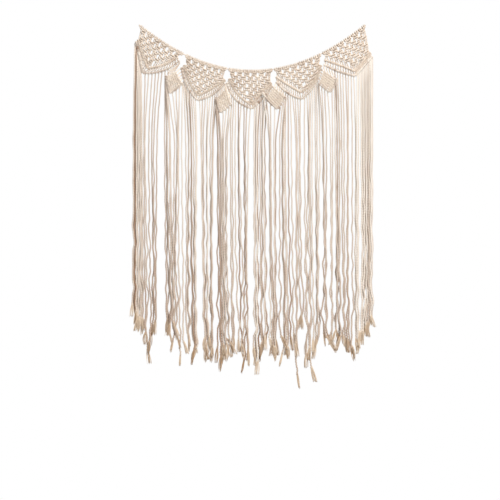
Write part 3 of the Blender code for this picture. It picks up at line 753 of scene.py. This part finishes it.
def net_surface(number, cord, dice):
    """Panel from the header to the outer bar: knots, free strands, inner bar and ladder."""
    net, surface = Net(number), Surface()
    routes = [[larks_head(net, k, cord.knotted / 2)] for k in range(STRANDS)]
    for knot, drop, tilt in net.middles():
        for k, part in enumerate(square_knot(net, knot, drop, tilt, cord.knotted / 2, dice)):
            routes[knot + k].append(part)
    for k, route in enumerate(routes):
        upper = bar_hitch(net.inner, k + 0.5, cord.hitched / 2)
        start, end = route[-1][-1], upper[0]
        f = np.array([0.35, 0.65])[:, None]
        free = start[:3] * (1 - f) + end[:3] * f
        free[:, 0] += dice.normal(0, 0.25 * MM, 2)
        free[:, 1] += dice.normal(0, 0.4 * MM, 2)
        if np.linalg.norm((end - start)[:3]) > 9 * MM:
            route.append(np.column_stack([free, np.full(2, cord.thickness / 2)]))
        route.append(upper)
        low = upper[-1]
        foot = net.outer.edge(outer_slot(k), cord.hitched)
        f = np.array([0.3, 0.7])[:, None]
        way = np.array([low[0], 0.4 * MM, low[2]]) * (1 - f) + f * np.array([foot[0], 0.4 * MM,
                                                                            foot[1]])
        route.append(np.column_stack([way, np.full(2, cord.thickness / 2)]))
        route.append(points(foot, 1.4 * MM, cord.hitched / 2))
        surface.add_cord(np.concatenate(route), cord, dice.normal(0, 0.05),
                         phase=dice.uniform(0, 6.28))
    surface.add_cord(core(net.inner, 1.3 * MM), cord)
    return surface


def lead_in(bar, slot, leaf, a, b, cord):
    """The first two points of a leaf's strand: at the panel's bar, and halfway to the leaf."""
    wide = 0.55 * cord.thickness
    head = points(bar.edge(slot, -(cord.hitched + 1.0 * MM)), 0.6 * MM, wide)
    entry = head * (0.5, 0, 0.5, 1) + points(leaf.place(a, b), 0, 0) * 0.5
    entry[:, 1] = LEAD_IN_DEPTH
    return [head, entry]


def leaf_surface(number, cord, dice):
    """Four strands from each side cross in a leaf. The right strands are tied with double half
    hitches round the left ones, and round two more lengths of cord between them."""
    leaf, surface = Leaf(number), Surface()
    radius = LEAF_CORD / 2
    from_left, from_right = outer_bar(number), outer_bar(number + 1)
    edges = (np.arange(LEAF_CELLS) + 0.5) / LEAF_CELLS
    rows = LEAF_FAN + (1 - LEAF_FAN) * (np.arange(LEAF_ROWS) + 0.5) / LEAF_ROWS
    own = np.round(np.linspace(0, LEAF_ROWS - 1, LEAF_CELLS)).astype(int).tolist()
    for order, share in enumerate(rows):
        b = np.linspace(LEAF_FAN, 1.0, 8)
        route = [points([leaf.place(share, x) for x in b], LEAF_DEPTH, 0.9 * radius)]
        if order in own:
            k = own.index(order)
            start = lead_in(from_left, outer_slot(STRANDS - 1 - k), leaf, edges[k], 0.0, cord)
            fan = leaf.place(0.4 * edges[k] + 0.6 * share, 0.6 * LEAF_FAN)
            route = start + [points(fan, LEAF_DEPTH, radius)] + route
        surface.add_cord(np.concatenate(route), cord, dice.normal(0, 0.05))
    for k, (edge, share) in enumerate(zip(edges, LEAF_FAN + (1 - LEAF_FAN) * edges)):
        start = lead_in(from_right, outer_slot(k), leaf, 0.0, edge, cord)
        ties = [points(leaf.place(0.6 * LEAF_FAN, 0.4 * edge + 0.6 * share), LEAF_DEPTH, radius)]
        for a in rows:
            middle, along, up, pitch, room = leaf.spot(a, share)
            tie = hitch(middle, along, up, pitch, radius, LEAF_DEPTH, 0.1, room)
            ties.append(tie + dice.normal(0, 0.5 * MM, tie.shape) * (1, 0.6, 1, 0))
        foot = points(leaf.place(1.0, share), LEAF_DEPTH + MM, radius)
        # Painted light: the strands hitched round a leaf's cords get a lighter tone, 0.22 on
        # average, to lift the shade between the rows of hitches
        surface.add_cord(np.concatenate(start + ties + [foot]), cord,
                         dice.normal(0.22, 0.14))
    return surface


# ---------------------------------------------------------------- fringe


def clump(name, order):
    """Number of the bundle that a strand hangs in. A new one starts after each wide gap."""
    places = np.array(HANGING[name][3])
    return int((np.diff(places[:order + 1]) > CLUMP_GAP).sum())


def waves(drop, dice):
    """Three sine waves, across and front to back, with lengths and shifts of their own."""
    out = np.zeros((2, len(drop)))
    for length, share in ((140, 1.0), (68, 0.7), (36, 0.35)):
        shift = dice.uniform(0, 2 * math.pi, (2, 1))
        out += share * np.sin(2 * math.pi * drop / length * dice.uniform(0.85, 1.2) + shift)
    return out


def hanging_route(name, order, start, fringe, cord, dice):
    """From a bar down to the strand's end through its places at the table's levels. Waves grow
    towards the end, partly shared by the strands of one bundle."""
    rows = HANGING[name][1:]
    layers = LEAF_LAYERS if name.startswith("leaf") else LAYERS
    end = rows[4][order] - 0.95 * fringe.frayed / MM
    top = (HEADER_Z - start[2]) / MM
    drop = np.concatenate([np.arange(top + 12, end - 6, 11.0), [end]])
    hang = np.interp(drop, (*HANG_LEVELS, rows[4][order]), [r[order] * MM for r in rows[:4]])
    fan = np.clip((drop - top) / (HANG_LEVELS[0] - top), 0, 1)
    x = start[0] + (hang - start[0]) * fan * (3 - fan * fan) / 2
    lie = np.clip((drop - top) / 45, 0, 1)
    lie = lie * lie * (3 - 2 * lie)
    y = start[1] * (1 - lie) + layers[order % 2] * lie
    size = fringe.waver * (0.12 + 0.88 * np.clip((drop - 250) / 570, 0, 1) ** 1.2)
    shared = np.random.default_rng([SEED, len(name), int(name[-1]), clump(name, order)])
    wave = 0.6 * waves(drop, shared) + dice.uniform(0.15, 0.9) * waves(drop, dice)
    grow = np.clip((drop - top) / (end - top), 0, 1)
    radius = cord.thickness / 2 * (1 + fringe.swell * grow ** 1.5)
    return np.column_stack([x + size * wave[0], y + 0.35 * size * wave[1], HEADER_Z - drop * MM,
                            radius])


def frayed_end(surface, tip, way, fringe, cord, dice, tone):
    """Loose yarns like a small flat brush: out = inside + spread sin(bend f), where f runs down
    from 0 to 1, so that the yarns stay together, swell out and close again, or stay spread. They
    reach less far from front to back than across."""
    count, rings = fringe.yarns, 8
    f = np.linspace(0, 1, rings)
    turn = dice.uniform(0, 2 * math.pi, (count, 1))
    swollen, bend, ragged = ((0.3, 2.0, 0.7), (1.0, 2.7, 0.72), (1.35, 1.7, 0.86))[dice.choice(
        3, p=(0.3, 0.35, 0.35))]
    length = fringe.frayed * dice.uniform(0.8, 1.15) * dice.uniform(ragged, 1.0, (count, 1))
    far = np.sqrt(dice.uniform(0.02, 1.0, (count, 1)))
    spread = fringe.spread * swollen * dice.uniform(0.75, 1.25) * far
    out = 0.45 * cord.thickness * far + spread * np.sin(f * bend * dice.uniform(0.9, 1.1))
    curl = 0.8 * MM * np.sin(f * dice.uniform(2, 6, (count, 1)) + turn) * f
    lean = way[:2] / -way[2] * (1, 0.3) + dice.normal(0, 0.16, 2) * (1, 0.15)
    down = length * f
    paths = np.stack([tip[0] + out * np.cos(turn) + curl + lean[0] * down,
                      tip[1] + 0.4 * out * np.sin(turn) + lean[1] * down,
                      tip[2] + 7 * MM - down - 7 * MM * f], -1)
    radii = 0.85 * MM * (1 - 0.45 * f ** 2) * dice.uniform(0.8, 1.2, (count, 1))
    surface.add_yarns(paths, radii, tone + dice.normal(-0.12, 0.18, count))


def fringe_surface(name, bar, depth, cord, fringe, dice):
    """The hitches of one bar and the strands that hang from them."""
    surface = Surface()
    radius = cord.hitched / 2
    first, last = HANGING[name][0], HANGING[name][0] + len(HANGING[name][1])
    surface.add_cord(core(bar, 1.5 * MM, depth), cord)
    for k in range(bar.knots):
        slot = outer_slot(k) if bar.knots == STRANDS else k + 0.5
        tied = bar_hitch(bar, slot, radius, depth, 1.2)
        # Random tone, plus the table's painted shade and painted light for this strand
        tone = dice.normal(0, 0.2) + PAINTED_SHADE_AND_LIGHT.get((name, k), 0.0)
        if not first <= k < last:
            surface.add_cord(tied, cord, tone)
            continue
        path = hanging_route(name, k - first, tied[-1], fringe, cord, dice)
        surface.add_cord(np.concatenate([tied, path]), cord, tone, phase=dice.uniform(0, 6.28))
        frayed_end(surface, path[-1], unit(path[-1, :3] - path[-2, :3]), fringe, cord, dice, tone)
    return surface


# ---------------------------------------------------------------- operators


class MACRAME_OT_header(bpy.types.Operator):
    """Lay the header cord with its two stopper knots"""
    bl_idname = "macrame.header"
    bl_label = "Header cord"

    def execute(self, context):
        cord = context.scene.macrame_cord
        surface = Surface()
        surface.add_cord(header_route(cord), cord)
        item = surface.piece("header_cord_seen", [knotted_cotton(cord)], "cotton_header")
        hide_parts("header_cord")
        return {"FINISHED"}


class MACRAME_OT_nets(bpy.types.Operator):
    """Tie the five nets of square knots with their inner bars"""
    bl_idname = "macrame.nets"
    bl_label = "Knotted panels"

    def execute(self, context):
        cord = context.scene.macrame_cord
        for number in PANELS:
            dice = np.random.default_rng([SEED, number])
            item = net_surface(number, cord, dice).piece(
                f"net_{number}", [knotted_cotton(cord)], "cotton_knotted")
            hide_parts(f"panel_{number}")
        return {"FINISHED"}


class MACRAME_OT_leaves(bpy.types.Operator):
    """Tie the four leaves between the panels"""
    bl_idname = "macrame.leaves"
    bl_label = "Leaves"

    def execute(self, context):
        cord = context.scene.macrame_cord
        for number in LEAVES:
            dice = np.random.default_rng([SEED, 10 + number])
            item = leaf_surface(number, cord, dice).piece(
                f"knotted_leaf_{number}", [knotted_cotton(cord)], "cotton_knotted")
            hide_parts(f"leaf_{number}")
        return {"FINISHED"}


class MACRAME_OT_fringe(bpy.types.Operator):
    """Tie the outer bars and hang the fringe from them"""
    bl_idname = "macrame.fringe"
    bl_label = "Fringe"

    def execute(self, context):
        cord, fringe = context.scene.macrame_cord, context.scene.macrame_fringe
        bars = [(f"fringe_{n}", outer_bar(n), 0.0) for n in PANELS]
        bars += [(f"leaf_fringe_{n}", leaf_bar(n), LEAF_DEPTH) for n in LEAVES]
        for order, (name, bar, depth) in enumerate(bars):
            dice = np.random.default_rng([SEED, 20 + order])
            item = fringe_surface(name, bar, depth, cord, fringe, dice).piece(
                name.replace("fringe", "strands"), [free_cotton(), frayed_cotton()],
                "cotton_plied")
            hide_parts(name)
        return {"FINISHED"}


def area_light(name, place, target, size, power, colour):
    data = bpy.data.lights.new(name, "AREA")
    data.shape, data.size, data.energy, data.color = "DISK", size, power, colour
    item = bpy.data.objects.new(name, data)
    bpy.context.scene.collection.objects.link(item)
    item.location = place
    way = np.array(target) - np.array(place)
    item.rotation_euler = (math.atan2(math.hypot(way[0], way[1]), -way[2]), 0,
                           math.atan2(way[0], -way[1]) + math.pi)
    return item


class MACRAME_OT_stage(bpy.types.Operator):
    """Set the floor, the soft studio light and the camera"""
    bl_idname = "macrame.stage"
    bl_label = "Stage"

    def execute(self, context):
        scene, stage = context.scene, context.scene.macrame_stage
        turn = np.linspace(0, 2 * math.pi, 96, endpoint=False)
        ring = np.stack([1.1 * np.cos(turn), 1.1 * np.sin(turn), 0 * turn], -1)
        mesh = bpy.data.meshes.new("studio_floor")
        mesh.from_pydata((ring + (0, 0, stage.floor_drop)).tolist(), [], [list(range(96))])
        mesh.materials.append(flat_material("pale_floor_paint", "F4F2EE", 0.7))
        floor = bpy.data.objects.new("studio_floor", mesh)
        scene.collection.objects.link(floor)
        floor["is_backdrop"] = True

        world = bpy.data.worlds.new("white_studio")
        world.use_nodes = True
        tree = world.node_tree
        seen = node(tree, "ShaderNodeLightPath").outputs["Is Camera Ray"]
        strength = node(tree, "ShaderNodeMix", [(0, seen), (2, 0.42), (3, 1.0)], data_type="FLOAT")
        background = tree.nodes["Background"]
        background.inputs["Color"].default_value = (1, 1, 1, 1)
        tree.links.new(strength.outputs[0], background.inputs["Strength"])
        scene.world = world
        scene.view_settings.view_transform = "Standard"

        middle = (0, 0, -0.1)
        area_light("key_light", (1.7, -3.3, 3.0), middle, 1.0, 212, (1.0, 0.985, 0.96))
        area_light("fill_light", (-2.4, -2.6, 0.3), middle, 2.0, 8, (0.97, 0.985, 1.0))
        area_light("back_light", (0.6, 2.8, 1.2), middle, 2.0, 12, (1.0, 1.0, 1.0))

        camera = bpy.data.cameras.new("camera")
        camera.lens = camera.sensor_width * stage.distance / stage.frame_width
        item = bpy.data.objects.new("camera", camera)
        scene.collection.objects.link(item)
        item.location = (-6.3 * MM, -stage.distance, -128.6 * MM)
        item.rotation_euler = (math.pi / 2, 0, 0)
        scene.camera = item
        return {"FINISHED"}


class MACRAME_PT_panel(bpy.types.Panel):
    """Lists the steps of the hanging"""
    bl_idname = "MACRAME_PT_panel"
    bl_label = "Macrame wall hanging"
    bl_space_type = "VIEW_3D"
    bl_region_type = "UI"
    bl_category = "Macrame"

    def draw(self, context):
        for step in STEPS:
            self.layout.operator(step.bl_idname)
        for group in ("macrame_cord", "macrame_fringe", "macrame_stage"):
            settings = getattr(context.scene, group)
            for key in settings.__annotations__:
                self.layout.prop(settings, key)


STEPS = (MACRAME_OT_stage, MACRAME_OT_header, MACRAME_OT_nets, MACRAME_OT_leaves,
         MACRAME_OT_fringe)
CLASSES = (CordSettings, FringeSettings, StageSettings, *STEPS, MACRAME_PT_panel)


def register():
    for item in CLASSES:
        bpy.utils.register_class(item)
    bpy.types.Scene.macrame_cord = PointerProperty(type=CordSettings)
    bpy.types.Scene.macrame_fringe = PointerProperty(type=FringeSettings)
    bpy.types.Scene.macrame_stage = PointerProperty(type=StageSettings)


def unregister():
    for key in ("macrame_cord", "macrame_fringe", "macrame_stage"):
        delattr(bpy.types.Scene, key)
    for item in reversed(CLASSES):
        bpy.utils.unregister_class(item)


def main():
    register()
    bpy.ops.macrame.stage()
    bpy.ops.macrame.header()
    bpy.ops.macrame.nets()
    bpy.ops.macrame.leaves()
    bpy.ops.macrame.fringe()
    boxes = {"cad": CAD_BOX, "visual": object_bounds()}
    {k: [[float(x) for x in corner] for corner in v] for k, v in boxes.items()}


if __name__ == "__main__":
    main()
